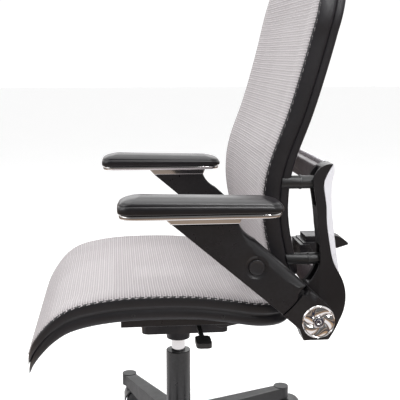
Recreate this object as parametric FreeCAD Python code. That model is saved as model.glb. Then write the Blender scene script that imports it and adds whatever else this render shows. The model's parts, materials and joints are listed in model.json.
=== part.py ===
import FreeCAD, Part
import math
import os

# Mesh task chair. Millimetres, +Z up, -Y is the chair's front and +X its left side.
# The origin is on the floor, under the gas lift's axis.

V = FreeCAD.Vector

# Clearances
RUN = 0.05            # radial play of a shaft in its hole
GAP = 0.4             # between pieces that slide or turn past each other

# Casters
WHEEL_R = 27.5
WHEEL_W = 18.0
WHEEL_SPACE = 16.0    # between the two wheels of a caster
CASTER_TRAIL = 20.0   # wheel axle behind the stem
CASTER_AXLE_R = 4.0
STEM_R = 5.5
STEM_L = 20.0
FENDER_GAP = 3.0
FENDER_T = 3.0

# Star base
ARMS = 5
BASE_R = 318.0        # radius of the ring of caster stems
TIP_R = 17.0
TIP_H = 28.0
BASE_HUB_R = 38.0
BASE_HUB_H = 56.0

# Gas lift
CYLINDER_R = 25.0
CYLINDER_L = 190.0
ROD_R = 14.0
ROD_IN_CYLINDER = 160.0
LIFT_TRAVEL = 100.0
LIFT_BUTTON_R = 4.0
LIFT_BUTTON_L = 13.0
LIFT_BUTTON_STAND = 5.0     # above the rod's top

# Tilt mechanism
HOUSING_HALF_W = 62.0
HOUSING_FRONT = -76.0
HOUSING_BACK = 96.0
HOUSING_H = 50.0
SOCKET_R = 24.0
SOCKET_H = 28.0
PIVOT_Y = 80.0        # recline axis
PIVOT_R = 7.0
SEAT_PIVOT_Y = -60.0
SEAT_PIVOT_R = 5.0
CARRIER_T = 24.0
CARRIER_EYE_R = 16.0

# Levers and knob of the mechanism
LEVER_HALF = 8.0
LEVER_T = 7.0
LEVER_PIN_R = 3.0
LEVER_SHORT = 13.0    # grip's end inside the seat's edge
LIFT_LEVER_X = -45.0
LOCK_LEVER_X = 45.0
LOCK_LEVER_Y = 30.0
KNOB_R = 23.0
KNOB_L = 36.0
KNOB_SHAFT_R = 6.0
KNOB_FLUTES = 12

# Seat
SEAT_HALF_W = 245.0
SEAT_FRONT = -285.0
SEAT_BACK = 195.0
SEAT_FRONT_CORNER = 60.0
SEAT_BACK_SAG = 26.0  # the rim's back edge, below its top
SEAT_RISE = 57.0      # from the seat plate's underside to the top of the rim
RIM_W = 26.0
RIM_H = 44.0
MESH_T = 4.0
SEAT_PLATE_T = 5.0
SEAT_PLATE_HALF_W = 80.0
CROSSBAR_W = 40.0
CROSSBAR_T = 14.0
CROSSBARS_AT = (-110.0, 40.0)
SIDE_RAIL_W = 23.0
SIDE_RAIL_DROP = 62.0  # its underside, below the seat rim
SIDE_RAIL = (-118.0, 138.0)

# Backrest
BACK_HALF_W = 250.0
BACK_BOTTOM = 22.0    # heights from here on are above the seat rim
BACK_TOP = 562.0
BACK_RAIL_W = 26.0
BACK_FRONT_T = 30.0
BACK_REAR_T = 16.0
BACK_DROP = 30.0      # backrest travel below and above its rest height
BACK_LIFT = 15.0
STUD_INSET = 20.0     # stud axis from the upright's inner face
STUD_UPPER_R = 11.5
STUD_UPPER_Z = 197.0
STUD_LOWER_R = 10.0
STUD_LOWER_Z = 60.0
STUD_UPPER_FLOOR = 229.0   # bottoms of the studs' grooves
STUD_LOWER_FLOOR = 246.0

# Rear support frame
UPRIGHT_W = 38.0
UPRIGHT_TOP = 230.0
BEAM_BOTTOM = -86.0
BEAM_H = 24.0
BEAM_FRONT = SEAT_BACK + 10.0
BEAM_BACK = 250.0
PANEL_LOW = 186.0     # the top cross panel, from its lower edge
PANEL_HIGH = 224.0
LOCK_HALF = 40.0
PADDLE_HALF = 21.0
PADDLE_Y = 297.0
PADDLE_Z = 38.0
PADDLE_PIN_R = 3.0

# Flip-up arms
HUB_Y = 218.0
HUB_Z = -34.5
HUB_R = 31.0
HUB_PIN_R = 10.0
ARM_T = 35.0
ARM_SLOPE = 40.5      # degrees above the horizontal, forwards
ARM_RISE = 174.5      # hub axis to the underside of the pad bracket
ARM_TOP_AHEAD = 252.0 # the flat top's front edge, ahead of the hub axis
ARM_TOP_L = 114.0
SEAM_AT = 56.0        # along the arm, from the hub axis
TONGUE_END = 128.0
TONGUE_W = 44.0
TONGUE_T = 20.0
BUTTON_AT = 146.0
BUTTON_R = 13.6
BUTTON_DEPTH = 9.0
CAP_R = 28.0
CAP_DEPTH = 6.0
BRACKET_H = 12.0
PAD_L = 275.0
PAD_W = 78.0
PAD_MIDDLE = 16.0
PAD_H = 34.0
TRIM_H = 8.7
RIGHT_PAD_FORWARD = 33.0
PAD_FORWARD = 40.0    # pad travel from the left pad's rest place
PAD_BACKWARD = 10.0
RAIL_STEM_HALF = 7.0
RAIL_HEAD_HALF = 12.0
RAIL_STEM_H = 3.0
RAIL_HEAD_H = 3.6

# Levels that follow from the sizes above
FENDER_R = WHEEL_R + FENDER_GAP + FENDER_T
TIP_Z = WHEEL_R + FENDER_R + 4.0
BASE_HUB_Z = TIP_Z + 8.0
CYLINDER_TOP = BASE_HUB_Z + CYLINDER_L
SOCKET_Z = CYLINDER_TOP + 27.0
HOUSING_Z = SOCKET_Z + SOCKET_H
HOUSING_TOP = HOUSING_Z + HOUSING_H
ROD_TOP = HOUSING_Z + 26.0
LEVER_Z = ROD_TOP + LIFT_BUTTON_STAND + GAP
LEVER_REACH = SEAT_HALF_W - LEVER_SHORT
KNOB_Z = HOUSING_Z + 22.0
PIVOT_Z = HOUSING_Z + 34.0
SEAT_PLATE_Z = HOUSING_TOP + 25.0
SEAT_PIVOT_Z = SEAT_PLATE_Z - 9.0
SEAT_Z = SEAT_PLATE_Z + SEAT_RISE
CORE_HALF_W = max(SEAT_HALF_W, BACK_HALF_W)
UPRIGHT_OUT = BACK_HALF_W
UPRIGHT_IN = UPRIGHT_OUT - UPRIGHT_W
STUD_X = UPRIGHT_IN + STUD_INSET
SEAT_BACK_CORNER = SEAT_HALF_W - UPRIGHT_IN + 57.0    # rounds the rim clear of the uprights
ARM_IN = CORE_HALF_W + 17.0
ARM_OUT = ARM_IN + ARM_T
ARM_MIDDLE = (ARM_IN + ARM_OUT) / 2
PAD_IN = CORE_HALF_W + 3.0
PAD_OUT = PAD_IN + PAD_W
ARM_TOP_Z = HUB_Z + ARM_RISE
ARM_TOP_FRONT = HUB_Y - ARM_TOP_AHEAD
ARM_TOP_REAR = ARM_TOP_FRONT + ARM_TOP_L
BRACKET_TOP = ARM_TOP_Z + BRACKET_H
TRIM_Z = BRACKET_TOP + GAP
CUSHION_Z = TRIM_Z + TRIM_H

AXIS = {"YZ": V(1, 0, 0), "XZ": V(0, 1, 0), "XY": V(0, 0, 1)}


def at(plane, a, b):
    """A point from its two coordinates in a plane."""
    return {"YZ": V(0, a, b), "XZ": V(a, 0, b), "XY": V(a, b, 0)}[plane]


def loop(plane, start, *steps):
    """Closed outline. A pair is a straight run to that point, four numbers are an arc through
    a point to its end, and a list of pairs is one smooth curve through them."""
    first = at(plane, *start)
    here = first
    edges = []
    for step in steps:
        if isinstance(step, list):
            points = [here] + [at(plane, *pair) for pair in step]
            curve = Part.BSplineCurve()
            curve.interpolate(points)
            edges.append(curve.toShape())
            here = points[-1]
        elif len(step) == 4:
            end = at(plane, *step[2:])
            edges.append(Part.Arc(here, at(plane, *step[:2]), end).toShape())
            here = end
        else:
            end = at(plane, *step)
            edges.append(Part.LineSegment(here, end).toShape())
            here = end
    if here.distanceToPoint(first) > 1e-6:
        edges.append(Part.LineSegment(here, first).toShape())
    return Part.Wire(edges)


def slab(plane, outline, low, high):
    """The outline's area, as a solid from low to high across its plane."""
    face = Part.Face(outline)
    face.translate(AXIS[plane] * low)
    return face.extrude(AXIS[plane] * (high - low))


def box(x, y, z):
    """A block from three (low, high) pairs."""
    return Part.makeBox(x[1] - x[0], y[1] - y[0], z[1] - z[0], V(x[0], y[0], z[0]))


def bar(start, end, radius):
    """A round bar between two points."""
    run = V(*end) - V(*start)
    return Part.makeCylinder(radius, run.Length, V(*start), run)


def rounded(plane, a, b, radius):
    """Outline of a rectangle with round corners, from two (low, high) pairs."""
    (a0, a1), (b0, b1) = a, b
    k = radius * (1 - math.sqrt(0.5))
    return loop(plane, (a0 + radius, b0), (a1 - radius, b0), (a1 - k, b0 + k, a1, b0 + radius),
                (a1, b1 - radius), (a1 - k, b1 - k, a1 - radius, b1),
                (a0 + radius, b1), (a0 + k, b1 - k, a0, b1 - radius),
                (a0, b0 + radius), (a0 + k, b0 + k, a0 + radius, b0))


def joined(*shapes):
    return shapes[0].multiFuse(list(shapes[1:])).removeSplitter()


def raised(shape):
    """Pieces above the seat are drawn from the seat rim's level."""
    moved = shape.copy()
    moved.translate(V(0, 0, SEAT_Z))
    return moved


def mirrored(shape):
    return shape.mirror(V(0, 0, 0), V(1, 0, 0))


# ---------------------------------------------------------------- base and casters

def stem_places():
    """Where the caster stems stand: one arm points to the front."""
    turns = [math.radians(-90 + 360 * i / ARMS) for i in range(ARMS)]
    return [(BASE_R * math.cos(t), BASE_R * math.sin(t)) for t in turns]


def base_arm():
    """One arm along +X, from the hub to the caster boss, deeper and wider at the hub."""
    low, high = BASE_HUB_Z + 4, BASE_HUB_Z + BASE_HUB_H - 6
    root = loop("YZ", (-25, low), (25, low), (20, high), (-20, high))
    low, high = TIP_Z + 3, TIP_Z + TIP_H - 3
    tip = loop("YZ", (-16, low), (16, low), (13, high), (-13, high))
    root.translate(V(BASE_HUB_R - 8, 0, 0))
    tip.translate(V(BASE_R, 0, 0))
    return Part.makeLoft([root, tip], True, True)


def base_star():
    hub = bar((0, 0, BASE_HUB_Z), (0, 0, BASE_HUB_Z + BASE_HUB_H), BASE_HUB_R)
    arms = []
    for x, y in stem_places():
        arm = base_arm()
        arm.rotate(V(0, 0, 0), V(0, 0, 1), math.degrees(math.atan2(y, x)))
        arms += [arm, bar((x, y, TIP_Z), (x, y, TIP_Z + TIP_H), TIP_R)]
    star = joined(hub, *arms)
    holes = [bar((0, 0, BASE_HUB_Z - 1), (0, 0, BASE_HUB_Z + BASE_HUB_H + 1), CYLINDER_R)]
    for x, y in stem_places():
        holes.append(bar((x, y, TIP_Z - 1), (x, y, TIP_Z + STEM_L + 1), STEM_R + RUN))
    return star.cut(Part.makeCompound(holes))


def caster_hood(x, y):
    """Stem, neck, the web between the wheels and the fender over them."""
    axle_y = y + CASTER_TRAIL
    web_half = WHEEL_SPACE / 2 - 1.5
    half = WHEEL_SPACE / 2 + WHEEL_W
    low, high = x - web_half, x + web_half
    web = bar((low, axle_y, WHEEL_R), (high, axle_y, WHEEL_R), WHEEL_R - 4)
    crown = bar((low, axle_y, WHEEL_R), (high, axle_y, WHEEL_R), FENDER_R)
    crown = crown.common(box((low, high), (axle_y - 60, axle_y + 60), (WHEEL_R + 4, WHEEL_R + 60)))
    fender = bar((x - half, axle_y, WHEEL_R), (x + half, axle_y, WHEEL_R), FENDER_R)
    fender = fender.cut(bar((x - half, axle_y, WHEEL_R), (x + half, axle_y, WHEEL_R), FENDER_R - FENDER_T))
    fender = fender.common(box((x - half, x + half), (axle_y - 60, axle_y + 60), (WHEEL_R + 4, WHEEL_R + 60)))
    neck = bar((x, y, WHEEL_R + 6), (x, y, TIP_Z - GAP), web_half + 2)
    neck = neck.cut(bar((x - half, axle_y, WHEEL_R), (x + half, axle_y, WHEEL_R), FENDER_R - FENDER_T))
    stem = bar((x, y, TIP_Z - 3), (x, y, TIP_Z + STEM_L), STEM_R)
    hood = joined(web, crown, fender, neck, stem)
    return hood.cut(bar((x - half, axle_y, WHEEL_R), (x + half, axle_y, WHEEL_R), CASTER_AXLE_R + RUN))


def caster_wheels(x, y):
    """Twin wheels on one axle, each with a shallow dished outer face."""
    axle_y = y + CASTER_TRAIL
    pieces = [bar((x - WHEEL_SPACE / 2 - 2, axle_y, WHEEL_R), (x + WHEEL_SPACE / 2 + 2, axle_y, WHEEL_R),
                  CASTER_AXLE_R)]
    for side in (-1, 1):
        inner = x + side * WHEEL_SPACE / 2
        outer = inner + side * WHEEL_W
        wheel = bar((inner, axle_y, WHEEL_R), (outer, axle_y, WHEEL_R), WHEEL_R)
        wheel = wheel.makeFillet(3, [e for e in wheel.Edges if len(e.Vertexes) == 1])
        dish = bar((outer - side * 3, axle_y, WHEEL_R), (outer + side, axle_y, WHEEL_R), WHEEL_R - 8)
        pieces.append(wheel.cut(dish))
    return joined(*pieces)


# ---------------------------------------------------------------- gas lift

def gas_cylinder():
    tube = bar((0, 0, BASE_HUB_Z), (0, 0, CYLINDER_TOP), CYLINDER_R)
    bore = bar((0, 0, CYLINDER_TOP - ROD_IN_CYLINDER - 1), (0, 0, CYLINDER_TOP + 1), ROD_R + RUN)
    return tube.cut(bore)


def gas_rod():
    rod = bar((0, 0, CYLINDER_TOP - ROD_IN_CYLINDER), (0, 0, ROD_TOP), ROD_R)
    return rod.cut(bar((0, 0, ROD_TOP - LIFT_BUTTON_L - 1), (0, 0, ROD_TOP + 1), LIFT_BUTTON_R + RUN))


def rod_button():
    top = ROD_TOP + LIFT_BUTTON_STAND
    return bar((0, 0, top - LIFT_BUTTON_L), (0, 0, top), LIFT_BUTTON_R)


# ---------------------------------------------------------------- tilt mechanism

def tilt_housing():
    """Cast box with the gas lift's socket below, lever slots from the top, and front ears."""
    body = slab("XY", rounded("XY", (-HOUSING_HALF_W, HOUSING_HALF_W), (HOUSING_FRONT, HOUSING_BACK), 14),
                HOUSING_Z, HOUSING_TOP)
    socket = bar((0, 0, SOCKET_Z), (0, 0, HOUSING_Z + 2), SOCKET_R)
    ears = []
    for side in (-1, 1):
        ear = slab("YZ", loop("YZ", (SEAT_PIVOT_Y - 12, HOUSING_TOP - 4),
                              (SEAT_PIVOT_Y - 8, SEAT_PIVOT_Z + 2),
                              (SEAT_PIVOT_Y, SEAT_PIVOT_Z + 8, SEAT_PIVOT_Y + 8, SEAT_PIVOT_Z + 2),
                              (SEAT_PIVOT_Y + 12, HOUSING_TOP - 4)), -5, 5)
        ear.translate(V(side * (HOUSING_HALF_W - 7), 0, 0))
        ears.append(ear)
    cuts = [
        bar((0, 0, SOCKET_Z - 1), (0, 0, ROD_TOP), ROD_R + RUN),
        bar((0, 0, ROD_TOP - 1), (0, 0, HOUSING_TOP + 1), ROD_R + RUN),
        box((-HOUSING_HALF_W - 1, 14), (-LEVER_HALF - 2, LEVER_HALF + 2), (ROD_TOP, HOUSING_TOP + 1)),
        box((22, HOUSING_HALF_W + 1), (LOCK_LEVER_Y - LEVER_HALF - 2, LOCK_LEVER_Y + LEVER_HALF + 2),
            (ROD_TOP, HOUSING_TOP + 1)),
        bar((-HOUSING_HALF_W - 1, PIVOT_Y, PIVOT_Z), (HOUSING_HALF_W + 1, PIVOT_Y, PIVOT_Z), PIVOT_R),
        bar((-HOUSING_HALF_W, SEAT_PIVOT_Y, SEAT_PIVOT_Z), (HOUSING_HALF_W, SEAT_PIVOT_Y, SEAT_PIVOT_Z),
            SEAT_PIVOT_R + RUN),
        bar((0, HOUSING_FRONT - 1, KNOB_Z), (0, HOUSING_FRONT + 26, KNOB_Z), KNOB_SHAFT_R + RUN),
    ]
    for x, y in ((LIFT_LEVER_X, 0), (LOCK_LEVER_X, LOCK_LEVER_Y)):
        middle = LEVER_Z + LEVER_T / 2
        cuts.append(bar((x, y - 16, middle), (x, y + 16, middle), LEVER_PIN_R + RUN))
    return joined(body, socket, *ears).cut(Part.makeCompound(cuts))


def tilt_axle():
    reach = HOUSING_HALF_W + GAP + CARRIER_T + 4
    return bar((-reach, PIVOT_Y, PIVOT_Z), (reach, PIVOT_Y, PIVOT_Z), PIVOT_R)


def side_lever(pivot_x, y, inner_x, side):
    """Flat lever with a cross pin, its rod and a paddle grip at the outer end."""
    outer = side * LEVER_REACH
    top = LEVER_Z + LEVER_T
    blade = box(sorted((inner_x, outer)), (y - LEVER_HALF / 2, y + LEVER_HALF / 2), (LEVER_Z, top))
    grip_plan = rounded("XY", sorted((outer - side * 46, outer)), (y - 14, y + 14), 9)
    grip = slab("XY", grip_plan, LEVER_Z - 1, top + 1)
    middle = LEVER_Z + LEVER_T / 2
    pin = bar((pivot_x, y - 15, middle), (pivot_x, y + 15, middle), LEVER_PIN_R)
    return joined(blade, grip, pin)


def tension_knob():
    """Fluted knob below the seat's front edge."""
    front = HOUSING_FRONT - GAP - KNOB_L
    knob = bar((0, front, KNOB_Z), (0, HOUSING_FRONT - GAP, KNOB_Z), KNOB_R)
    flutes = []
    for i in range(KNOB_FLUTES):
        turn = 2 * math.pi * i / KNOB_FLUTES
        x, z = KNOB_R * math.cos(turn), KNOB_Z + KNOB_R * math.sin(turn)
        flutes.append(bar((x, front - 1, z), (x, HOUSING_FRONT + 1, z), 2.6))
    shaft = bar((0, front + 5, KNOB_Z), (0, HOUSING_FRONT + 24, KNOB_Z), KNOB_SHAFT_R)
    return joined(knob.cut(Part.makeCompound(flutes)), shaft)


# ---------------------------------------------------------------- seat

def seat_line(drop):
    """The seat's side profile, front to back, lowered by drop: flat top and a waterfall front."""
    points = [(SEAT_FRONT + 3, -108), (SEAT_FRONT + 12, -84), (SEAT_FRONT + 30, -56), (SEAT_FRONT + 54, -31),
              (SEAT_FRONT + 85, -14), (-148, -3), (-85, 1.5), (0, 0.5), (60, -6), (120, -16),
              (SEAT_BACK, -SEAT_BACK_SAG)]
    return [(y, z - drop) for y, z in points]


def seat_layer(top, bottom):
    """The band between two depths under the seat's profile, over its whole width and length."""
    upper, lower = [[(SEAT_FRONT - 4, -130 - drop), *seat_line(drop),
                     (SEAT_BACK + 8, -SEAT_BACK_SAG - 1 - drop)]
                    for drop in (top, bottom)]
    back = list(reversed(lower))
    outline = loop("YZ", upper[0], upper[1:], back[0], back[1:])
    return slab("YZ", outline, -SEAT_HALF_W - 5, SEAT_HALF_W + 5)


def seat_plan(inset):
    """The seat seen from above, with larger corners at the back, inset from its edge."""
    x, y0, y1 = SEAT_HALF_W - inset, SEAT_FRONT + inset, SEAT_BACK - inset
    front, back = SEAT_FRONT_CORNER - inset, SEAT_BACK_CORNER - inset
    kf, kb = front * (1 - math.sqrt(0.5)), back * (1 - math.sqrt(0.5))
    outline = loop("XY", (-x + front, y0), (x - front, y0), (x - kf, y0 + kf, x, y0 + front),
                   (x, y1 - back), (x - kb, y1 - kb, x - back, y1),
                   (-x + back, y1), (-x + kb, y1 - kb, -x, y1 - back),
                   (-x, y0 + front), (-x + kf, y0 + kf, -x + front, y0))
    return slab("XY", outline, -260, 60)


def seat_frame():
    ring = seat_plan(0).cut(seat_plan(RIM_W))
    return raised(seat_layer(0, RIM_H).common(ring))


def seat_mesh():
    return raised(seat_layer(2, 2 + MESH_T).common(seat_plan(RIM_W)))


def seat_crossbar(y):
    """Flat bow under the mesh, from side rail to side rail."""
    end = SEAT_HALF_W - RIM_W
    low = SEAT_PLATE_Z + SEAT_PLATE_T
    high = SEAT_Z - RIM_H + 8
    outline = loop("XZ", (-end, high), (-110, low), (110, low), (end, high),
                   (end, high + CROSSBAR_T), (112, low + CROSSBAR_T), (-112, low + CROSSBAR_T),
                   (-end, high + CROSSBAR_T))
    return slab("XZ", outline, y - CROSSBAR_W / 2, y + CROSSBAR_W / 2)


def seat_underframe():
    """Two bows and two side rails in one moulding; the rails follow the rim's inner edge."""
    band = seat_plan(RIM_W).cut(seat_plan(RIM_W + SIDE_RAIL_W))
    sides = box((-SEAT_HALF_W, SEAT_HALF_W), SIDE_RAIL, (-SIDE_RAIL_DROP, 14 - RIM_H))
    rails = raised(band.common(sides))
    return joined(*[seat_crossbar(y) for y in CROSSBARS_AT], *rails.Solids)


def seat_plate():
    """Pressed plate under the crossbars, with two ears and the pin that hangs it on the housing."""
    plate = slab("XY", rounded("XY", (-SEAT_PLATE_HALF_W, SEAT_PLATE_HALF_W), (-92, 92), 12),
                 SEAT_PLATE_Z, SEAT_PLATE_Z + SEAT_PLATE_T)
    pieces = [plate]
    for side in (-1, 1):
        ear = box((-3, 3), (SEAT_PIVOT_Y - 9, SEAT_PIVOT_Y + 9), (SEAT_PIVOT_Z - 8, SEAT_PLATE_Z + 2))
        ear.translate(V(side * (HOUSING_HALF_W + GAP + 3), 0, 0))
        pieces.append(ear)
    reach = HOUSING_HALF_W + 4
    pin = bar((-reach, SEAT_PIVOT_Y, SEAT_PIVOT_Z), (reach, SEAT_PIVOT_Y, SEAT_PIVOT_Z), SEAT_PIVOT_R)
    return joined(*pieces, pin)


# ---------------------------------------------------------------- rear support frame

def shell_line():
    """Where the black upright meets its silver shell, from the top down."""
    return [(239, 210), (234.5, 194), (239.5, 158), (241, 130), (245, 102), (253, 62), (264, 39)]


def upright():
    """Left upright: hooked top, slim waist, and an elbow that wraps round the arm's hub."""
    side = loop("YZ", (250, UPRIGHT_TOP), (243, UPRIGHT_TOP), (226, UPRIGHT_TOP - 8, 216, 195),
                (222.5, 160, 227, 120),
                (231, 85, 231.5, 55), (225, 37, 208, 15), (HUB_Y - 26, HUB_Z + 16), (HUB_Y - 26, HUB_Z - 16),
                (BEAM_FRONT, BEAM_BOTTOM), (BEAM_BACK, BEAM_BOTTOM), (262, -66, 269, -50), (279, -4, 264, 39),
                list(reversed(shell_line()))[1:] + [(250, UPRIGHT_TOP)])
    body = slab("YZ", side, UPRIGHT_IN, UPRIGHT_OUT)
    boss = bar((UPRIGHT_IN, HUB_Y, HUB_Z), (ARM_IN - GAP, HUB_Y, HUB_Z), HUB_R)
    cuts = [bar((UPRIGHT_IN + 20, HUB_Y, HUB_Z), (ARM_IN, HUB_Y, HUB_Z), HUB_PIN_R + RUN)]
    for z, r, floor in ((STUD_UPPER_Z, STUD_UPPER_R, STUD_UPPER_FLOOR),
                        (STUD_LOWER_Z, STUD_LOWER_R, STUD_LOWER_FLOOR)):
        cuts.append(box((STUD_X - r - GAP, STUD_X + r + GAP), (200, floor),
                        (z - r - BACK_DROP - 1, z + r + BACK_LIFT + 1)))
    return raised(joined(body, boss).cut(Part.makeCompound(cuts)))


def upright_shell():
    """Left silver shell along the upright's back."""
    side = loop("YZ", (250, UPRIGHT_TOP), shell_line(), (279, 27),
                [(262, 73), (252, 128), (248.5, 165), (248.5, 195), (252, 216), (250, UPRIGHT_TOP)])
    return raised(slab("YZ", side, UPRIGHT_IN, UPRIGHT_OUT))


def panel_top():
    """Dark cross panel between the uprights' tops, with two counterbored screw holes."""
    panel = box((-UPRIGHT_IN, UPRIGHT_IN), (224, 240), (PANEL_LOW, PANEL_HIGH))
    screws = []
    for x in (-45, 45):
        middle = (PANEL_LOW + PANEL_HIGH) / 2
        screws.append(bar((x, 223, middle), (x, 232, middle), 5.5))
    edges = [e for e in panel.Edges if abs(e.BoundBox.YMin - 224) < 0.1 and e.BoundBox.XLength > 10]
    return raised(panel.makeFillet(5, edges).cut(Part.makeCompound(screws)))


def shell_top():
    """Silver cross shell behind the panel, rounded along its top."""
    side = loop("YZ", (240, PANEL_LOW), (240, PANEL_HIGH + 2), (243, PANEL_HIGH + 7, 249, PANEL_HIGH + 4),
                (257, PANEL_HIGH - 3, 258, PANEL_HIGH - 12), (254, PANEL_LOW))
    return raised(slab("YZ", side, -UPRIGHT_IN, UPRIGHT_IN))


def panel_low():
    """Lower cross member between the elbows, under the height lock."""
    side = loop("YZ", (246, -34), (246, 15), (249, 18, 254, 17), (266, 14, 270, 4),
                (270, -28), (266, -37, 254, -38))
    return raised(slab("YZ", side, -UPRIGHT_IN, UPRIGHT_IN))


def lock_box():
    """Height lock on the lower cross member, with two ears for its paddle."""
    side = loop("YZ", (244, 10), (244, 52), (284, 52), (289, 51, 290, 46), (290, 20), (276, 10))
    pieces = [slab("YZ", side, -LOCK_HALF, LOCK_HALF)]
    for side_x in (-1, 1):
        ear = box((-3.5, 3.5), (288, PADDLE_Y + 5), (PADDLE_Z - 7, PADDLE_Z + 7))
        ear.translate(V(side_x * (PADDLE_HALF + GAP + 3.5), 0, 0))
        pieces.append(ear)
    reach = PADDLE_HALF + 8
    hole = bar((-reach, PADDLE_Y, PADDLE_Z), (reach, PADDLE_Y, PADDLE_Z), PADDLE_PIN_R + RUN)
    return raised(joined(*pieces).cut(hole)).cut(panel_low())


def lock_paddle():
    side = loop("YZ", (293, 34), (293, 45), (317, 52), (334, 46, 346, 37), (348, 34, 345, 31), (324, 25))
    blade = slab("YZ", side, -PADDLE_HALF, PADDLE_HALF)
    reach = PADDLE_HALF + 6
    pin = bar((-reach, PADDLE_Y, PADDLE_Z), (reach, PADDLE_Y, PADDLE_Z), PADDLE_PIN_R)
    return raised(joined(blade, pin))


def carrier_beam():
    """Cross beam under the back edge of the seat, from elbow to elbow."""
    side = rounded("YZ", (BEAM_FRONT, BEAM_BACK), (BEAM_BOTTOM, BEAM_BOTTOM + BEAM_H), 6)
    return raised(slab("YZ", side, -UPRIGHT_IN, UPRIGHT_IN))


def carrier_arm():
    """Left arm from the recline axle back to the cross beam."""
    top = SEAT_Z - SEAT_BACK_SAG - RIM_H - 4
    low = SEAT_Z + BEAM_BOTTOM
    r = CARRIER_EYE_R
    side = loop("YZ", (PIVOT_Y, PIVOT_Z + r), (PIVOT_Y - r, PIVOT_Z, PIVOT_Y, PIVOT_Z - r),
                (BEAM_FRONT - 40, low - 12), (BEAM_FRONT, low), (BEAM_FRONT, top), (BEAM_FRONT - 40, top - 2))
    inner = HOUSING_HALF_W + GAP
    arm = slab("YZ", side, inner, inner + CARRIER_T)
    bore = bar((inner - 1, PIVOT_Y, PIVOT_Z), (inner + CARRIER_T + 1, PIVOT_Y, PIVOT_Z), PIVOT_R + RUN)
    return arm.cut(bore)


# ---------------------------------------------------------------- backrest

def back_line(shift):
    """The backrest's side profile from its foot up, moved back by shift: lumbar bulge, then leaning."""
    points = [(134, 110), (130, 172), (139, 230), (168, 312), (192, 394), (213, 478)]
    points = [(158, BACK_BOTTOM - 15)] + points + [(234, BACK_TOP + 15)]
    return [(y + shift, z) for y, z in points]


def back_layer(near, far):
    """The band between two depths behind the backrest's profile, over its whole width."""
    front, rear = back_line(near), list(reversed(back_line(far)))
    return slab("YZ", loop("YZ", front[0], front[1:], rear[0], rear[1:]), -BACK_HALF_W - 5, BACK_HALF_W + 5)


def back_face(inset):
    """The backrest seen from the front: slightly wider towards the top, round corners."""
    w, z0, z1 = BACK_HALF_W, BACK_BOTTOM, BACK_TOP
    outline = loop("XZ", (-w + 47, z0), (w - 47, z0), (w - 24, z0 + 9, w - 14, z0 + 32),
                   (w - 10, z0 + 160, w, z1 - 110), (w - 19, z1 - 29, w - 100, z1),
                   (-w + 100, z1), (-w + 19, z1 - 29, -w, z1 - 110),
                   (-w + 10, z0 + 160, -w + 14, z0 + 32), (-w + 24, z0 + 9, -w + 47, z0))
    if inset:
        outline = outline.makeOffset2D(-inset)
    return slab("XZ", outline, 60, 360)


def back_frame_front():
    ring = back_face(0).cut(back_face(BACK_RAIL_W))
    return raised(back_layer(0, BACK_FRONT_T).common(ring))


def back_frame_rear():
    ring = back_face(3).cut(back_face(BACK_RAIL_W - 3))
    return raised(back_layer(BACK_FRONT_T, BACK_FRONT_T + BACK_REAR_T).common(ring))


def back_mesh():
    return raised(back_layer(3, 3 + MESH_T).common(back_face(BACK_RAIL_W)))


def stud(z, radius, end):
    """Left guide stud: from the front band, past the rear one, back into the upright's groove."""
    rod = bar((STUD_X, 150, z), (STUD_X, end, z), radius)
    collar = bar((STUD_X, end - 34, z), (STUD_X, end - 31, z), radius + 1)
    rear_band = back_layer(BACK_FRONT_T, BACK_FRONT_T + BACK_REAR_T)
    ring = back_face(0).cut(back_face(BACK_RAIL_W)).common(rear_band)
    taken = back_face(3).common(ring)
    free = joined(rod, collar).cut(back_layer(-20, BACK_FRONT_T)).cut(taken)
    return raised(free)


# ---------------------------------------------------------------- arms

def on_arm(along, across):
    """(Y, Z) of a place on the arm: along it from the hub axis, and across it, up being positive."""
    turn = math.radians(ARM_SLOPE)
    return (HUB_Y - along * math.cos(turn) + across * math.sin(turn),
            HUB_Z + along * math.sin(turn) + across * math.cos(turn))


def arm_strip(s0, s1, t0, t1, x0, x1):
    """A block that lies along the arm."""
    corners = [on_arm(s0, t0), on_arm(s1, t0), on_arm(s1, t1), on_arm(s0, t1)]
    return slab("YZ", loop("YZ", *corners), x0, x1)


def arm_lower():
    """Left lower arm: the hub disc with its pin, a short neck, and the tongue inside the sleeve."""
    neck = slab("YZ", loop("YZ", on_arm(0, -HUB_R), on_arm(SEAM_AT - GAP, -HUB_R + 0.5),
                           on_arm(SEAM_AT - 3 - GAP, 3) + on_arm(SEAM_AT - GAP, HUB_R + 3.5),
                           on_arm(0, HUB_R)), ARM_IN, ARM_OUT)
    disc = bar((ARM_IN, HUB_Y, HUB_Z), (ARM_OUT, HUB_Y, HUB_Z), HUB_R)
    pin = bar((UPRIGHT_IN + 22, HUB_Y, HUB_Z), (ARM_IN + 1, HUB_Y, HUB_Z), HUB_PIN_R)
    tongue = arm_strip(SEAM_AT - 10, TONGUE_END, 3 - TONGUE_W / 2, 3 + TONGUE_W / 2,
                       ARM_MIDDLE - TONGUE_T / 2, ARM_MIDDLE + TONGUE_T / 2)
    seat = bar((ARM_OUT - CAP_DEPTH, HUB_Y, HUB_Z), (ARM_OUT + 1, HUB_Y, HUB_Z), CAP_R)
    return raised(joined(neck, disc, pin, tongue).cut(seat))


def arm_hub_cap():
    """Domed disc in the hub's outer face."""
    disc = bar((ARM_OUT - CAP_DEPTH, HUB_Y, HUB_Z), (ARM_OUT + 2, HUB_Y, HUB_Z), CAP_R)
    rim = [e for e in disc.Edges if len(e.Vertexes) == 1 and e.BoundBox.XMin > ARM_OUT]
    disc = disc.makeFillet(1.8, rim)
    return raised(disc.cut(bar((ARM_OUT - 3, HUB_Y, HUB_Z), (ARM_OUT + 3, HUB_Y, HUB_Z), 9)))


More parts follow.
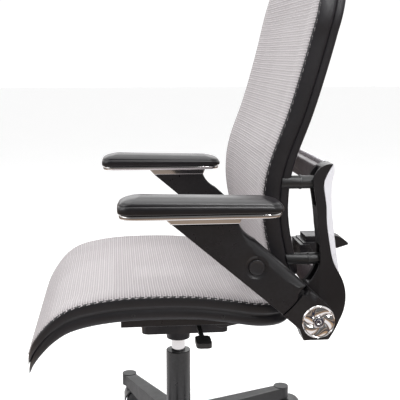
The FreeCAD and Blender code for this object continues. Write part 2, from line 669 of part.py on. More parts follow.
def arm_hub_bolt():
    """Socket-head bolt at the middle of the cap."""
    head = bar((ARM_OUT - 3, HUB_Y, HUB_Z), (ARM_OUT + 3, HUB_Y, HUB_Z), 9)
    turns = [math.pi * i / 3 for i in range(6)]
    corners = [(HUB_Y + 4.6 * math.cos(turn), HUB_Z + 4.6 * math.sin(turn)) for turn in turns]
    return raised(head.cut(slab("YZ", loop("YZ", *corners), ARM_OUT - 1, ARM_OUT + 4)))


def arm_sleeve():
    """Left sleeve: the long slanted arm that carries the pad bracket on its flat top."""
    side = loop("YZ", on_arm(SEAM_AT, -HUB_R + 0.5), (ARM_TOP_FRONT, ARM_TOP_Z), (ARM_TOP_REAR, ARM_TOP_Z),
                on_arm(207, 38.5) + on_arm(176, 38), on_arm(SEAM_AT, HUB_R + 3.5),
                on_arm(SEAM_AT - 3, 3) + on_arm(SEAM_AT, -HUB_R + 0.5))
    body = slab("YZ", side, ARM_IN, ARM_OUT)
    long_edges = [e for e in body.Edges if e.BoundBox.XLength < 0.1 and e.BoundBox.DiagonalLength > 20
                  and e.BoundBox.ZMax - e.BoundBox.ZMin > 20
                  and e.distToShape(Part.Vertex(e.BoundBox.XMin, *on_arm(SEAM_AT, 3)))[0] > 20]
    body = body.makeFillet(5, long_edges)
    slot = arm_strip(SEAM_AT - 20, TONGUE_END + 1, 3 - TONGUE_W / 2 - GAP, 3 + TONGUE_W / 2 + GAP,
                     ARM_MIDDLE - TONGUE_T / 2 - GAP, ARM_MIDDLE + TONGUE_T / 2 + GAP)
    y, z = on_arm(BUTTON_AT, 5)
    well = bar((ARM_OUT - BUTTON_DEPTH - 4, y, z), (ARM_OUT + 1, y, z), BUTTON_R + GAP)
    return raised(body.cut(Part.makeCompound([slot, well])))


def arm_button():
    """Left push button with a shallow dished face."""
    y, z = on_arm(BUTTON_AT, 5)
    button = bar((ARM_OUT - BUTTON_DEPTH, y, z), (ARM_OUT + 0.8, y, z), BUTTON_R)
    return raised(button.cut(bar((ARM_OUT - 0.8, y, z), (ARM_OUT + 2, y, z), BUTTON_R - 3)))


def arm_bracket():
    """Left pad bracket: a flared plate on the sleeve's top and the T rail that the pad slides on."""
    front, back = ARM_TOP_FRONT, ARM_TOP_REAR
    side = loop("YZ", (front, ARM_TOP_Z), (back, ARM_TOP_Z), (back + 5, BRACKET_TOP),
                (front - 11, BRACKET_TOP))
    plate = slab("YZ", side, ARM_IN - 2, ARM_OUT + 2)
    stem = box((ARM_MIDDLE - RAIL_STEM_HALF, ARM_MIDDLE + RAIL_STEM_HALF), (front, back),
               (BRACKET_TOP - 1, BRACKET_TOP + RAIL_STEM_H + 1))
    head = box((ARM_MIDDLE - RAIL_HEAD_HALF, ARM_MIDDLE + RAIL_HEAD_HALF), (front, back),
               (BRACKET_TOP + RAIL_STEM_H, BRACKET_TOP + RAIL_STEM_H + RAIL_HEAD_H))
    return raised(joined(plate, stem, head))


def pad_plan(inset):
    """The pad seen from above, as a tall block."""
    half = PAD_L / 2 - inset
    outline = rounded("XY", (PAD_IN + inset, PAD_OUT - inset), (PAD_MIDDLE - half, PAD_MIDDLE + half),
                      30 - inset)
    return slab("XY", outline, 100, 260)


def arm_trim():
    """Left pad's band, with a T slot for the bracket's rail."""
    front = ARM_TOP_FRONT - PAD_BACKWARD - 1
    back = ARM_TOP_REAR + PAD_FORWARD + 1
    block = box((PAD_IN, PAD_OUT), (-300, 400), (TRIM_Z, TRIM_Z + TRIM_H)).common(pad_plan(3))
    stem = box((ARM_MIDDLE - RAIL_STEM_HALF - GAP, ARM_MIDDLE + RAIL_STEM_HALF + GAP), (front, back),
               (TRIM_Z - 1, TRIM_Z + RAIL_STEM_H))
    head = box((ARM_MIDDLE - RAIL_HEAD_HALF - GAP, ARM_MIDDLE + RAIL_HEAD_HALF + GAP), (front, back),
               (BRACKET_TOP + RAIL_STEM_H - GAP, BRACKET_TOP + RAIL_STEM_H + RAIL_HEAD_H + GAP))
    return raised(block.cut(Part.makeCompound([stem, head])))


def arm_cushion():
    """Left cushion: crowned along its length, on the band."""
    y0, y1, z = PAD_MIDDLE - PAD_L / 2, PAD_MIDDLE + PAD_L / 2, CUSHION_Z
    side = loop("YZ", (y0 + 3, z), (y1 - 3, z), (y1, z + 8),
                (y1 - 22, z + PAD_H - 13, y1 - 60, z + PAD_H - 5),
                (PAD_MIDDLE - 12, z + PAD_H, y0 + 60, z + PAD_H - 5),
                (y0 + 18, z + PAD_H - 13, y0, z + 8))
    return raised(slab("YZ", side, PAD_IN, PAD_OUT).common(pad_plan(0)))


# ---------------------------------------------------------------- all the pieces

def pieces():
    nodes = {
        "base_star": base_star(),
        "gas_cylinder": gas_cylinder(),
        "gas_rod": gas_rod(),
        "rod_button": rod_button(),
        "tilt_housing": tilt_housing(),
        "tilt_axle": tilt_axle(),
        "lift_lever": side_lever(LIFT_LEVER_X, 0, 7, -1),
        "tilt_lock_lever": side_lever(LOCK_LEVER_X, LOCK_LEVER_Y, 30, 1),
        "tension_knob": tension_knob(),
        "seat_plate": seat_plate(),
        "seat_underframe": seat_underframe(),
        "seat_frame": seat_frame(),
        "seat_mesh": seat_mesh(),
        "carrier_beam": carrier_beam(),
        "panel_top": panel_top(),
        "shell_top": shell_top(),
        "panel_low": panel_low(),
        "lock_box": lock_box(),
        "lock_paddle": lock_paddle(),
        "back_frame_front": back_frame_front(),
        "back_frame_rear": back_frame_rear(),
        "back_mesh": back_mesh(),
    }
    for i, (x, y) in enumerate(stem_places(), 1):
        nodes["caster_%d_hood" % i] = caster_hood(x, y)
        nodes["caster_%d_wheels" % i] = caster_wheels(x, y)
    left = {
        "carrier_arm_%s": carrier_arm(),
        "upright_%s": upright(),
        "shell_%s": upright_shell(),
        "stud_upper_%s": stud(STUD_UPPER_Z, STUD_UPPER_R, STUD_UPPER_FLOOR - GAP),
        "stud_lower_%s": stud(STUD_LOWER_Z, STUD_LOWER_R, STUD_LOWER_FLOOR - GAP),
        "arm_%s_lower": arm_lower(),
        "arm_%s_hub_cap": arm_hub_cap(),
        "arm_%s_hub_bolt": arm_hub_bolt(),
        "arm_%s_sleeve": arm_sleeve(),
        "arm_%s_bracket": arm_bracket(),
        "arm_%s_button": arm_button(),
        "arm_%s_trim": arm_trim(),
        "arm_%s_cushion": arm_cushion(),
    }
    for name, shape in left.items():
        nodes[name % "left"] = shape
        right = mirrored(shape)
        if name in ("arm_%s_trim", "arm_%s_cushion"):
            right.translate(V(0, -RIGHT_PAD_FORWARD, 0))
        nodes[name % "right"] = right
    return nodes


os.makedirs("parts", exist_ok=True)
for node, shape in pieces().items():
    if not shape.isValid() or shape.Volume <= 0:
        print("not a sound solid:", node)
    print(node, len(shape.Solids), round(shape.Volume / 1000, 1))
    shape.exportStep("parts/%s.step" % node)
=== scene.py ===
import json
import math

import bmesh
import bpy
from mathutils import Matrix, Vector


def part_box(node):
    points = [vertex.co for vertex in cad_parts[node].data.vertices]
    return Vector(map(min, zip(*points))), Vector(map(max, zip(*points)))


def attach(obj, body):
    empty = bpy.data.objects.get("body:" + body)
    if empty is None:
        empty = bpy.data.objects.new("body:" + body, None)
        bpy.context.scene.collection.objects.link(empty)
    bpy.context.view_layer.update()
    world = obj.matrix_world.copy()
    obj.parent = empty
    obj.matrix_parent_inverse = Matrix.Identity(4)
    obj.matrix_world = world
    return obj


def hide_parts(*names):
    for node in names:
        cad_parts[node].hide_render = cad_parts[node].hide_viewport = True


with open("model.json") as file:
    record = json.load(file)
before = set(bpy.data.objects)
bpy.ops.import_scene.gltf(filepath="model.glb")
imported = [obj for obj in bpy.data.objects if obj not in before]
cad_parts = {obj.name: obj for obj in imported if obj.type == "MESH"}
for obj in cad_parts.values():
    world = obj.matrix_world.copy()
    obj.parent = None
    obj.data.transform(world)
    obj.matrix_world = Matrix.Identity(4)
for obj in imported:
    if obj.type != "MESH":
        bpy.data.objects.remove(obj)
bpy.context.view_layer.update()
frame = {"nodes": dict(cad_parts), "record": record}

# The looks of a mesh task chair: metres, +Z up, -Y is the chair's front and +X its left side.
# Outlines are written in millimetres, with heights above the seat rim, and turned into metres by mm().

NODES = frame["nodes"]
RECORD = frame["record"]
BODY_OF = {node: body for body, nodes in RECORD["behaviour"]["bodies"].items() for node in nodes}
SLOT_OF = {part["node"]: part["material_slot"] for part in RECORD["subparts"]}
SIDES = (("left", 1), ("right", -1))

SEAT_Z = 0.450                  # the height from which millimetre heights count
ARM_SLOPE = math.radians(40.5)  # rise of the arms towards the front
HUB_R = 31.0                    # radius in mm of the round end of an arm


def mm(*values):
    return tuple(value / 1000 for value in values)


def middle(node):
    """(Y, Z) in millimetres of the middle of a node, seen from the side."""
    low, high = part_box(node)
    spot = (low + high) / 2
    return spot.y * 1000, (spot.z - SEAT_Z) * 1000


# Read from the frame
SEAT_HALF_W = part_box("seat_frame")[1].x
BACK_HALF_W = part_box("back_frame_front")[1].x
UPRIGHT_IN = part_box("upright_left")[0].x
SLEEVE_LOW, SLEEVE_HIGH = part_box("arm_left_sleeve")
ARM_IN, ARM_OUT = SLEEVE_LOW.x, SLEEVE_HIGH.x
HUB = middle("arm_left_hub_cap")
BUTTON = middle("arm_left_button")

# Cloth, in metres
RIB = 0.0092          # one bright rib of the mesh
ROWS_PER_RIB = 6
COLUMN = 0.006        # width of one column of faces
RELIEF = 0.0003       # height of a tall rib
STITCH = 0.0140       # pitch of the dark and light dashes along the seam
HOLE_PITCH = 0.0074   # from one hole of the mesh to the next, across the chair
STRAND = 0.0011       # width of a strand between two holes

# Cloth, in millimetres
CLOTH_LIFT = 0.7      # height over its frame
RIM_LAND = 27.0       # width over which it lies on its frame before it sags
SAG_RUN = 70.0        # width over which it then sags
SAG = 5.0


# ---------------------------------------------------------------- lines

def through(a, b, c, count):
    """Points of the arc from a through b to c, without a itself."""
    (ax, ay), (bx, by), (cx, cy) = a, b, c
    d = 2 * (ax * (by - cy) + bx * (cy - ay) + cx * (ay - by))
    if abs(d) < 1e-9:
        return [c]
    a2, b2, c2 = ax * ax + ay * ay, bx * bx + by * by, cx * cx + cy * cy
    ox = (a2 * (by - cy) + b2 * (cy - ay) + c2 * (ay - by)) / d
    oy = (a2 * (cx - bx) + b2 * (ax - cx) + c2 * (bx - ax)) / d
    radius = math.hypot(ax - ox, ay - oy)
    start, mid, end = [math.atan2(y - oy, x - ox) for x, y in (a, b, c)]
    turn = (end - start) % (2 * math.pi)
    if (mid - start) % (2 * math.pi) > turn:
        turn -= 2 * math.pi
    angles = [start + turn * i / count for i in range(1, count + 1)]
    return [(ox + radius * math.cos(t), oy + radius * math.sin(t)) for t in angles]


def curve(points, count=8):
    """A smooth line through the points, with count steps between each two."""
    out = [points[0]]
    ends = [points[0]] + list(points) + [points[-1]]
    for p0, p1, p2, p3 in zip(ends, ends[1:], ends[2:], ends[3:]):
        for i in range(1, count + 1):
            t = i / count
            out.append(tuple(0.5 * (2 * b + (c - a) * t + (2 * a - 5 * b + 4 * c - d) * t * t
                                    + (3 * b - a - 3 * c + d) * t ** 3)
                             for a, b, c, d in zip(p0, p1, p2, p3)))
    return out


def outline(start, *steps, step=4.0):
    """Closed outline in millimetres: a pair is a straight run, four numbers are an arc, a list is a curve."""
    points = [start]
    for leg in steps:
        here = points[-1]
        if isinstance(leg, list):
            points += curve([here] + leg, 5)[1:]
        elif len(leg) == 4:
            reach = math.dist(here, leg[2:]) + math.dist(here, leg[:2])
            points += through(here, leg[:2], leg[2:], max(5, int(reach / step)))
        else:
            count = max(1, int(math.dist(here, leg) / (3 * step)))
            points += [(here[0] + (leg[0] - here[0]) * i / count, here[1] + (leg[1] - here[1]) * i / count)
                       for i in range(1, count + 1)]
    if math.dist(points[0], points[-1]) < 0.01:
        points.pop()
    return points


def inset(points, distances):
    """The closed outline moved inwards by one distance, or by one distance for each point."""
    if not hasattr(distances, "__len__"):
        distances = [distances] * len(points)
    area = sum(a[0] * b[1] - b[0] * a[1] for a, b in zip(points, points[1:] + points[:1]))
    turn = 1 if area > 0 else -1
    moved = []
    for i, (point, distance) in enumerate(zip(points, distances)):
        before, after = Vector(points[i - 1]), Vector(points[(i + 1) % len(points)])
        here = Vector(point)
        first, second = (here - before).normalized(), (after - here).normalized()
        normal = Vector((-first.y - second.y, first.x + second.x)) * turn
        normal.normalize()
        squeeze = max(0.5, normal.dot(Vector((-first.y, first.x)) * turn))
        moved.append(tuple(here + normal * distance / squeeze))
    return moved


def at_height(points, height):
    """The first coordinate of a line at the first place where its second one has this height."""
    for a, b in zip(points, points[1:]):
        if a[1] <= height <= b[1] or b[1] <= height <= a[1]:
            span = b[1] - a[1]
            share = (height - a[1]) / span if abs(span) > 1e-9 else 0
            return a[0] + (b[0] - a[0]) * share
    near = min((points[0], points[-1]), key=lambda p: abs(p[1] - height))
    return near[0]


def on_arm(along, across):
    """(Y, Z) in millimetres of a place on the arm: along it from the hub axis, and across it."""
    y, z = HUB
    return (y - along * math.cos(ARM_SLOPE) + across * math.sin(ARM_SLOPE),
            z + along * math.sin(ARM_SLOPE) + across * math.cos(ARM_SLOPE))


def arm_place(point):
    """(along, across) of a point of the side view, the other way round from on_arm()."""
    y, z = point[0] - HUB[0], point[1] - HUB[1]
    return (-y * math.cos(ARM_SLOPE) + z * math.sin(ARM_SLOPE),
            y * math.sin(ARM_SLOPE) + z * math.cos(ARM_SLOPE))


def circle(centre, radius, count=64):
    return [(centre[0] + radius * math.cos(2 * math.pi * i / count),
             centre[1] + radius * math.sin(2 * math.pi * i / count)) for i in range(count)]


# ---------------------------------------------------------------- meshes

def place(name, bm, body, slot, smooth=40, stands_for=()):
    """Puts the finished mesh in the scene as a piece."""
    bmesh.ops.recalc_face_normals(bm, faces=bm.faces)
    mesh = bpy.data.meshes.new(name)
    bm.to_mesh(mesh)
    bm.free()
    piece = bpy.data.objects.new(name, mesh)
    bpy.context.scene.collection.objects.link(piece)
    mesh.materials.append(MATERIALS[slot])
    for face in mesh.polygons:
        face.use_smooth = True
        face.material_index = 0
    mesh.set_sharp_from_angle(angle=math.radians(smooth))
    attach(piece, body)
    if stands_for:
        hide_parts(*stands_for)
    return piece


def band(bm, one, two):
    """Quads between two rings of vertices."""
    for i in range(len(one)):
        j = (i + 1) % len(one)
        bm.faces.new((one[i], one[j], two[j], two[i]))


def rings_mesh(rings, closed=False, caps=(True, True)):
    """Quads between rings of points; the first and last ring are filled, or joined to each other."""
    bm = bmesh.new()
    loops = [[bm.verts.new(point) for point in ring] for ring in rings]
    after = loops[1:] + loops[:1] if closed else loops[1:]
    for one, two in zip(loops, after):
        band(bm, one, two)
    if not closed:
        for filled, ring in zip(caps, (loops[0], loops[-1])):
            if filled:
                bm.faces.new(ring)
    return bm, loops


def side_point(x, point):
    """A point of a side view, in millimetres, at a place across the chair in metres."""
    return Vector((x, point[0] / 1000, SEAT_Z + point[1] / 1000))


def side_body(points, layers, side, weights=None, hole=None):
    """A thick shape drawn from the side. Layers are (x in metres, inset in millimetres);
    a hole is (centre, ((radius, x), ...)) sunk into the last layer."""
    weights = weights or [1] * len(points)
    rings = []
    for x, depth in layers:
        moved = inset(points, [depth * weight for weight in weights])
        rings.append([side_point(side * x, point) for point in moved])
    bm, loops = rings_mesh(rings, caps=(True, hole is None))
    if hole:
        centre, steps = hole
        walls = [[bm.verts.new(side_point(side * x, p)) for p in circle(centre, r)] for r, x in steps]
        for one, two in zip(walls, walls[1:]):
            band(bm, one, two)
        bm.faces.new(walls[-1])
        rims = []
        for ring in (loops[-1], walls[0]):
            for pair in zip(ring, ring[1:] + ring[:1]):
                rims.append(bm.edges.get(pair) or bm.edges.new(pair))
        bmesh.ops.triangle_fill(bm, use_beauty=True, edges=rims)
    return bm


def turned(centre, side, profile, count=64):
    """A shape turned about an axis across the chair: profile is (x in metres, radius in millimetres)."""
    rings = [[side_point(side * x, p) for p in circle(centre, radius, count)] for x, radius in profile]
    return rings_mesh(rings)[0]


def refined(node, bevel):
    """A CAD node's own shape with its sharp edges rounded, as a finished piece."""
    bm = bmesh.new()
    bm.from_mesh(NODES[node].data)
    bmesh.ops.remove_doubles(bm, verts=bm.verts, dist=2e-5)
    bmesh.ops.dissolve_limit(bm, angle_limit=math.radians(0.6), verts=bm.verts, edges=bm.edges)
    piece = place(node + "_body", bm, BODY_OF[node], SLOT_OF[node], 38, (node,))
    edges = piece.modifiers.new("edges", "BEVEL")
    edges.width = bevel
    edges.segments = 3
    edges.limit_method = "ANGLE"
    edges.angle_limit = math.radians(32)
    edges.harden_normals = False
    return piece


# ---------------------------------------------------------------- materials

class Nodes:
    """Builds one material's nodes."""

    def __init__(self, name):
        self.material = bpy.data.materials.new(name)
        self.material.use_nodes = True
        self.tree = self.material.node_tree
        self.shader = self.tree.nodes["Principled BSDF"]

    def add(self, kind, inputs=None, **settings):
        node = self.tree.nodes.new("ShaderNode" + kind)
        for key, value in settings.items():
            setattr(node, key, value)
        for key, value in (inputs or {}).items():
            self.put(node, key, value)
        return node

    def put(self, node, key, value):
        if isinstance(value, bpy.types.NodeSocket):
            self.tree.links.new(value, node.inputs[key])
        else:
            node.inputs[key].default_value = value

    def set(self, **values):
        for key, value in values.items():
            self.put(self.shader, key.replace("_", " "), value)

    def object_space(self):
        return self.add("TexCoord").outputs["Object"]

    def noise(self, scale, detail=3.0, rough=0.55, where=None):
        vector = where or self.object_space()
        return self.add("TexNoise", {"Vector": vector, "Scale": scale, "Detail": detail,
                                     "Roughness": rough}).outputs["Fac"]

    def span(self, value, low, high, out_low, out_high):
        """The value from low..high, turned into out_low..out_high."""
        return self.add("MapRange", {"Value": value, "From Min": low, "From Max": high,
                                     "To Min": out_low, "To Max": out_high}).outputs["Result"]

    def math(self, operation, a, b=0.0):
        node = self.add("Math", operation=operation)
        self.put(node, 0, a)
        self.put(node, 1, b)
        return node.outputs[0]

    def mix(self, share, one, two):
        node = self.add("Mix", data_type="RGBA")
        self.put(node, 0, share)
        self.put(node, 6, one)
        self.put(node, 7, two)
        return node.outputs[2]

    def worn(self, reach=0.05):
        """1 on convex edges, broken up by noise."""
        edge = self.add("NewGeometry").outputs["Pointiness"]
        sharp = self.span(edge, 0.5 + reach * 0.3, 0.5 + reach, 0.0, 1.0)
        return self.math("MULTIPLY", sharp, self.span(self.noise(160), 0.4, 0.65, 0.0, 1.0))

    def bump(self, height, depth, strength=1.0):
        node = self.add("Bump", {"Height": height, "Distance": depth, "Strength": strength})
        self.put(self.shader, "Normal", node.outputs["Normal"])


def rgba(colour):
    return (*colour, 1.0)


def shade(colour, factor):
    return rgba([min(1.0, c * factor) for c in colour])


def plastic(name, colour, rough=0.42, grain=0.0006, depth=0.00004, wear=1.8, coat=0.0):
    """Moulded plastic: fine grain, uneven gloss, and edges rubbed a little lighter."""
    m = Nodes(name)
    cloud = m.span(m.noise(14, 4), 0.3, 0.7, 0.0, 1.0)
    base = m.mix(cloud, shade(colour, 0.86), shade(colour, 1.14))
    worn = m.worn()
    m.set(Base_Color=m.mix(m.math("MULTIPLY", worn, 0.6), base, shade(colour, wear)), Coat_Weight=coat)
    patch = m.span(m.noise(38, 5), 0.3, 0.7, rough - 0.05, rough + 0.06)
    m.set(Roughness=m.math("SUBTRACT", patch, m.math("MULTIPLY", worn, 0.08)))
    m.bump(m.noise(1 / grain, 2, 0.6), depth)
    return m.material


def metal(name, colour, rough=0.07, brushed=0.0, tint=0.94):
    """Plated or cast metal: slight cloudiness, hairline marks and a faint ripple."""
    m = Nodes(name)
    cloud = m.span(m.noise(24, 4), 0.35, 0.65, 0.0, 1.0)
    m.set(Base_Color=m.mix(cloud, shade(colour, tint), rgba(colour)), Metallic=1.0)
    marks = m.span(m.noise(520, 6, 0.75), 0.55, 0.8, 0.0, 1.0)
    m.set(Roughness=m.math("ADD", m.span(m.noise(30), 0.3, 0.7, rough * 0.7, rough * 1.4),
                           m.math("MULTIPLY", marks, 0.05 + brushed)))
    ripple, depth = (900, 0.00006) if brushed else (60, 0.00003)
    m.bump(m.noise(ripple, 2), depth)
    return m.material


def painted(name, colour, rough=0.3):
    """Metallic paint on plastic under a clear coat, with fine flakes."""
    m = Nodes(name)
    flakes = m.add("TexVoronoi", {"Vector": m.object_space(), "Scale": 1900.0}).outputs["Distance"]
    sparkle = m.span(flakes, 0.1, 0.6, 0.0, 1.0)
    m.set(Base_Color=m.mix(sparkle, shade(colour, 0.97), shade(colour, 1.02)), Metallic=0.1,
          Coat_Weight=0.35)
    m.set(Roughness=m.span(m.noise(45, 4), 0.3, 0.7, rough - 0.05, rough + 0.07))
    m.bump(m.noise(700, 2), 0.00002)
    return m.material


def pad_skin(name, colour):
    """Soft polyurethane skin with a fine leather-like pebble and handled patches."""
    m = Nodes(name)
    cells = m.add("TexVoronoi", {"Vector": m.object_space(), "Scale": 900.0}, feature="SMOOTH_F1")
    pebble = cells.outputs["Distance"]
    cloud = m.span(m.noise(20, 4), 0.3, 0.7, 0.0, 1.0)
    worn = m.worn(0.04)
    base = m.mix(cloud, shade(colour, 0.85), shade(colour, 1.2))
    m.set(Base_Color=m.mix(m.math("MULTIPLY", worn, 0.25), base, shade(colour, 1.8)), Sheen_Weight=0.05,
          Sheen_Roughness=0.3, Sheen_Tint=rgba((0.95, 0.84, 0.93)), Coat_Weight=0.1, Coat_Roughness=0.28)
    m.set(Roughness=m.span(m.noise(55, 5), 0.3, 0.7, 0.30, 0.36))
    height = m.math("ADD", m.math("MULTIPLY", pebble, 0.6), m.math("MULTIPLY", m.noise(1500, 2), 0.4))
    m.bump(height, 0.000012, 0.1)
    return m.material


def mesh_cloth(name, colour):
    """Woven elastic mesh: oblong holes in a brick pattern between ribs. The holes are painted in shade,
    darker and more see-through near its edges.
    """
    m = Nodes(name)
    weave = m.add("TexCoord").outputs["UV"]
    strands = m.add("TexBrick", {"Vector": weave, "Scale": 1.0, "Brick Width": HOLE_PITCH,
                                 "Row Height": RIB / 2, "Mortar Size": STRAND, "Mortar Smooth": 0.45},
                    offset=0.5)
    hole = m.math("SUBTRACT", 1.0, strands.outputs["Fac"])
    near_edge = m.add("Attribute", attribute_name="edge").outputs["Fac"]
    along = m.add("SeparateXYZ", {"Vector": weave}).outputs["Y"]
    rib = m.math("ABSOLUTE", m.math("SINE", m.math("MULTIPLY", along, math.pi / RIB)))
    bright = m.span(rib, 0.80, 1.0, 0.0, 1.0)
    # Painted shade in the holes, stronger near the edges; the same mask sets how see-through the holes are
    painted_hole_shade_and_see_through = m.math("MULTIPLY", hole, m.math("ADD", 0.62, m.math("MULTIPLY", near_edge, 0.3)))
    thread = m.span(m.noise(1300, 2, 0.6, weave), 0.3, 0.7, 0.0, 1.0)
    base = m.mix(thread, shade(colour, 0.93), shade(colour, 1.05))
    base = m.mix(m.math("MULTIPLY", bright, 0.34), base, shade(colour, 1.3))
    # The holes painted dark grey: painted shade of what lies behind the cloth
    base = m.mix(m.math("MULTIPLY", painted_hole_shade_and_see_through, 0.85), base, rgba((0.24, 0.22, 0.225)))
    dash = m.span(m.math("SINE", m.math("MULTIPLY", along, 2 * math.pi / STITCH)), -0.15, 0.15, 0.0, 1.0)
    seam = m.math("MULTIPLY", m.span(near_edge, 0.70, 0.82, 0.0, 1.0), dash)
    base = m.mix(m.math("MULTIPLY", seam, 0.93), base, rgba((0.02, 0.02, 0.022)))
    m.set(Base_Color=base, Sheen_Weight=0.05, Sheen_Roughness=0.5)
    m.set(Roughness=m.span(thread, 0.0, 1.0, 0.6, 0.78))
    m.set(Alpha=m.math("SUBTRACT", 1.0, m.math("MULTIPLY", m.span(painted_hole_shade_and_see_through, 0.55, 0.9, 0.0, 1.0), 0.4)))
    raised = m.math("ADD", m.math("MULTIPLY", bright, 0.5), m.math("MULTIPLY", thread, 0.25))
    m.bump(m.math("SUBTRACT", raised, hole), 0.0004, 0.8)
    return m.material


def floor_paint():
    """Pale studio floor. Gloss sees it white near the chair, then tan, then dark, then tan again."""
    m = Nodes("studio_floor")
    m.set(Base_Color=m.mix(m.span(m.noise(3), 0.3, 0.7, 0.0, 1.0), rgba((0.9, 0.9, 0.9)),
                           rgba((0.93, 0.93, 0.93))), Roughness=0.8, Emission_Color=rgba((1, 1, 1)),
          Emission_Strength=0.25)
    reach = m.add("VectorMath", {0: m.object_space()}, operation="LENGTH").outputs["Value"]
    ramp = m.add("ValToRGB", {"Fac": m.span(reach, 0.0, 4.0, 0.0, 1.0)})
    stops = ramp.color_ramp.elements
    stops[0].color, stops[1].color = (0.95, 0.94, 0.96, 1), (0.26, 0.22, 0.19, 1)
    for position, colour in ((0.20, (0.9, 0.88, 0.88, 1)), (0.25, (0.46, 0.32, 0.20, 1)),
                             (0.34, (0.36, 0.25, 0.16, 1)), (0.40, (0.02, 0.03, 0.06, 1)),
                             (0.52, (0.08, 0.07, 0.07, 1)), (0.72, (0.34, 0.27, 0.21, 1))):
        stops.new(position).color = colour
    seen = m.add("Emission", {"Color": ramp.outputs["Color"], "Strength": 1.1})
    pick = m.add("MixShader", {0: m.add("LightPath").outputs["Is Glossy Ray"]})
    m.tree.links.new(m.shader.outputs[0], pick.inputs[1])
    m.tree.links.new(seen.outputs[0], pick.inputs[2])
    m.tree.links.new(pick.outputs[0], m.tree.nodes["Material Output"].inputs["Surface"])
    return m.material


MATERIALS = {
    "base_plastic": plastic("base_plastic", (0.022, 0.022, 0.024), 0.45, 0.0009, 0.00007),
    "steel_black": plastic("steel_black", (0.016, 0.016, 0.018), 0.33, 0.0003, 0.00002, 2.5, 0.2),
    "steel_chrome": metal("steel_chrome", (0.8, 0.79, 0.8), 0.08),
    "button_plastic": plastic("button_plastic", (0.016, 0.015, 0.017), 0.36, 0.0005, 0.00002),
    "mechanism_metal": metal("mechanism_metal", (0.06, 0.06, 0.065), 0.42, 0.12, 0.8),
    "lever_plastic": plastic("lever_plastic", (0.02, 0.02, 0.02), 0.48, 0.0007, 0.00006),
    "frame_plastic": plastic("frame_plastic", (0.011, 0.010, 0.012), 0.34, 0.0006, 0.00003),
    "rim_plastic": plastic("rim_plastic", (0.011, 0.010, 0.0125), 0.44, 0.0007, 0.00006),
    "mesh_fabric": mesh_cloth("mesh_fabric", (0.46, 0.428, 0.438)),
    "mauve_plastic": plastic("mauve_plastic", (0.075, 0.058, 0.066), 0.36, 0.0006, 0.00003),
    "silver_plastic": painted("silver_plastic", (0.78, 0.77, 0.81)),
    "stud_plastic": plastic("stud_plastic", (0.018, 0.018, 0.019), 0.38, 0.0005, 0.00002),
    "hood_plastic": plastic("hood_plastic", (0.02, 0.02, 0.021), 0.36, 0.0005, 0.00003),
    "wheel_rubber": plastic("wheel_rubber", (0.035, 0.034, 0.037), 0.6, 0.0008, 0.00006, 1.5),
    "arm_plastic": plastic("arm_plastic", (0.011, 0.010, 0.0115), 0.36, 0.0005, 0.000008, 1.6),
    "arm_chrome": metal("arm_chrome", (0.82, 0.8, 0.8), 0.06),
    "pad_skin": pad_skin("pad_skin", (0.007, 0.006, 0.0075)),
}


# ---------------------------------------------------------------- seat

SEAT_PROFILE = curve([(-286, -122), (-282, -108), (-273, -84), (-255, -56), (-231, -31), (-200, -14),
                      (-148, -3), (-85, 1.5), (0, 0.5), (60, -6), (120, -16), (195, -26)], 12)
SEAT_W = SEAT_HALF_W * 1000
SEAT_FRONT, SEAT_BACK = -285.0, 195.0
SEAT_FRONT_R, SEAT_BACK_R = 60, 90          # corner radii, seen from above
SEAT_FRONT_CUT, SEAT_BACK_CUT = 17.6, 26.4  # how far each corner's arc stands in at its middle


def seat_edge():
    """One edge of the seat seen from above, from its front to its back."""
    w, y0, y1, front, back = SEAT_W, SEAT_FRONT, SEAT_BACK, SEAT_FRONT_CUT, SEAT_BACK_CUT
    start, leave = (w - SEAT_FRONT_R, y0), (w, y1 - SEAT_BACK_R)
    return ([start] + through(start, (w - front, y0 + front), (w, y0 + SEAT_FRONT_R), 16)
            + [leave] + through(leave, (w - back, y1 - back), (w - SEAT_BACK_R, y1), 18))


SEAT_SIDE = seat_edge()


def seat_height(y):
    return at_height([(p[1], p[0]) for p in SEAT_PROFILE], y)


def seat_plan():
    """The seat from above, as a closed outline in millimetres."""
    front, back = SEAT_FRONT_R, SEAT_BACK_R
    k, j = front * (1 - math.sqrt(0.5)), back * (1 - math.sqrt(0.5))
    w, y0, y1 = SEAT_W, SEAT_FRONT, SEAT_BACK
    return outline((-w + front, y0), (w - front, y0), (w - k, y0 + k, w, y0 + front), (w, y1 - back),
                   (w - j, y1 - j, w - back, y1), (-w + back, y1), (-w + j, y1 - j, -w, y1 - back),
                   (-w, y0 + front), (-w + k, y0 + k, -w + front, y0), step=3.0)


def seat_rim():
    """The moulded rim: rounded top, a crease along its side and a lip below."""
    section = [(26, 5), (25.5, 1.5), (23, 0.3), (6, 0.2), (2.2, 1.2), (0.6, 3.4), (0, 7), (0, 17),
               (0.5, 19.4), (1.9, 20.8), (3.0, 22.2), (3.0, 24), (2.0, 26), (1.1, 29), (0.9, 37),
               (1.8, 41), (4.5, 43.4), (9, 44), (24, 44), (26, 42)]
    plan = seat_plan()
    rings = []
    for depth_in, drop in section:
        loop = inset(plan, depth_in)
        rings.append([Vector(mm(x, y, SEAT_Z * 1000 + seat_height(y) - drop)) for x, y in loop])
    bm, _ = rings_mesh(rings, closed=True)
    return place("seat_rim", bm, "seat", "rim_plastic", 50, ("seat_frame",))


def path_frames(path, step):
    """Evenly spaced points on a line, with their tangents and the length so far."""
    lengths = [0.0]
    for a, b in zip(path, path[1:]):
        lengths.append(lengths[-1] + math.dist(a, b))
    count = int(lengths[-1] / step)
    frames, at = [], 0
    for i in range(count + 1):
        want = lengths[-1] * i / count
        while at < len(lengths) - 2 and lengths[at + 1] < want:
            at += 1
        share = (want - lengths[at]) / max(1e-9, lengths[at + 1] - lengths[at])
        a, b = Vector(path[at]), Vector(path[at + 1])
        frames.append((a.lerp(b, share), (b - a).normalized(), want))
    return frames


